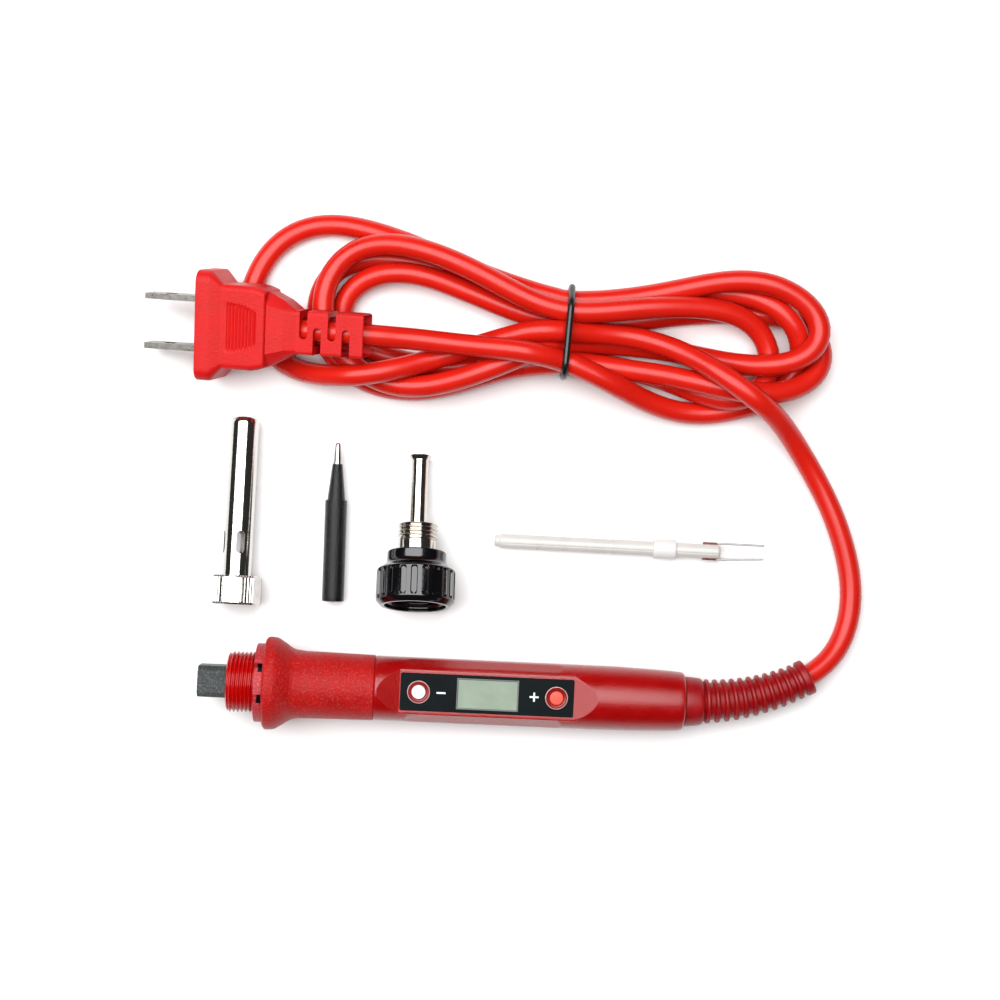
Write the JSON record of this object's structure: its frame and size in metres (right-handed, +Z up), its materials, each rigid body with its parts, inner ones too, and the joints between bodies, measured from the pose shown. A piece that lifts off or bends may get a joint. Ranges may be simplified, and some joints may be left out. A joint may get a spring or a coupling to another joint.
{
  "type": "adjustable soldering iron",
  "caption": "Red temperature-adjustable soldering iron with display handle, tied cord and plug, laid out beside its tip, sleeve, collar and ceramic heater.",
  "frame": {"origin": "middle of the laid-out set's footprint, on the surface it lies on, the cord and plug left out", "axes": "+X along the handle from its socket to its cord, +Y from the handle towards the tied cord, +Z up from the surface"},
  "size_m": [0.1857, 0.1346, 0.0237],
  "materials": {
    "handle_body": "semi-gloss, fine grain",
    "front_grip": "fine grain, matt",
    "thread_ferrule": "gloss",
    "vent_ring": "fine grain",
    "heater_socket": "grained charcoal",
    "socket_contacts": "satin",
    "display_panel": "printed sheet, satin gloss",
    "lcd_window": "pale liquid-crystal window",
    "lcd_module": "satin",
    "panel_marks": "printed white",
    "minus_bezel": "semi-gloss",
    "plus_bezel": "semi-gloss",
    "minus_button": "semi-gloss",
    "plus_button": "semi-gloss",
    "tact_switches": "satin",
    "circuit_board": "solder mask",
    "triac": "moulded epoxy",
    "film_capacitor": "dipped",
    "controller_chip": "moulded epoxy",
    "heater_wires": "glass-fibre sleeve",
    "supply_wires": "soft plastic",
    "cord_clamp": "satin",
    "clamp_screws": "zinc plated",
    "strain_relief": "satin",
    "sleeve_tube": "nickel plated, polished",
    "sleeve_nut": "nickel plated, polished",
    "iron_tip": "black shank, tinned point",
    "collar_barrel": "nickel plated, polished",
    "collar_pipe": "nickel plated, polished",
    "collar_nut": "gloss phenolic",
    "heater_rod": "fired alumina, satin",
    "heater_band": "fired alumina, matt",
    "heater_pads": "braze",
    "heater_leads": "bare nickel wire",
    "cord_lead": "soft PVC, semi-gloss",
    "cord_hank": "soft PVC, semi-gloss",
    "cord_plug_end": "soft PVC, semi-gloss",
    "cord_tie": "gloss black tie",
    "plug_body": "moulded PVC, fine grain",
    "plug_bridge": "satin",
    "plug_blades": "nickel plated, satin",
    "plug_wires": "soft plastic"
  },
  "bodies": {
    "handle": {"handle_body": "handle_body", "front_grip": "front_grip", "thread_ferrule": "thread_ferrule", "vent_ring": "vent_ring", "heater_socket": "heater_socket", "socket_contacts": "socket_contacts", "display_panel": "display_panel", "lcd_window": "lcd_window", "lcd_module": "lcd_module", "panel_marks": "panel_marks", "minus_bezel": "minus_bezel", "plus_bezel": "plus_bezel", "tact_switches": "tact_switches", "circuit_board": "circuit_board", "triac": "triac", "film_capacitor": "film_capacitor", "controller_chip": "controller_chip", "heater_wires": "heater_wires", "supply_wires": "supply_wires", "cord_clamp": "cord_clamp", "clamp_screws": "clamp_screws", "strain_relief": "strain_relief", "cord_lead": "cord_lead", "cord_hank": "cord_hank", "cord_plug_end": "cord_plug_end", "cord_tie": "cord_tie", "plug_body": "plug_body", "plug_bridge": "plug_bridge", "plug_blades": "plug_blades", "plug_wires": "plug_wires"},
    "minus_button": {"minus_button": "minus_button"},
    "plus_button": {"plus_button": "plus_button"},
    "sleeve": {"sleeve_tube": "sleeve_tube"},
    "sleeve_nut": {"sleeve_nut": "sleeve_nut"},
    "tip": {"iron_tip": "iron_tip"},
    "collar": {"collar_barrel": "collar_barrel", "collar_pipe": "collar_pipe"},
    "collar_nut": {"collar_nut": "collar_nut"},
    "heater": {"heater_rod": "heater_rod", "heater_band": "heater_band", "heater_pads": "heater_pads", "heater_leads": "heater_leads"}
  },
  "joints": [
    {"name": "minus_press", "type": "slide", "parent": "handle", "child": "minus_button", "axis": [-0.0396, 0.0019, -0.9992], "range_m": [0, 0.0005], "stiffness_N_per_m": 1500},
    {"name": "plus_press", "type": "slide", "parent": "handle", "child": "plus_button", "axis": [-0.0396, 0.0019, -0.9992], "range_m": [0, 0.0005], "stiffness_N_per_m": 1500},
    {"name": "sleeve_lift", "type": "slide", "parent": "handle", "child": "sleeve", "axis": [0, 0, 1], "range_m": [0, 0.06]},
    {"name": "sleeve_nut_spin", "type": "hinge", "parent": "sleeve", "child": "sleeve_nut", "pos_m": [-0.07093, -0.00441, 0.00684], "axis": [0.047, 0.9965, -0.0691], "continuous": true},
    {"name": "tip_lift", "type": "slide", "parent": "handle", "child": "tip", "axis": [0, 0, 1], "range_m": [0, 0.06]},
    {"name": "collar_lift", "type": "slide", "parent": "handle", "child": "collar", "axis": [0, 0, 1], "range_m": [0, 0.06]},
    {"name": "collar_nut_spin", "type": "hinge", "parent": "collar", "child": "collar_nut", "pos_m": [-0.02422, -0.00159, 0.01035], "axis": [0.0255, 0.9732, -0.2284], "continuous": true},
    {"name": "heater_lift", "type": "slide", "parent": "handle", "child": "heater", "axis": [0, 0, 1], "range_m": [0, 0.06]}
  ]
}
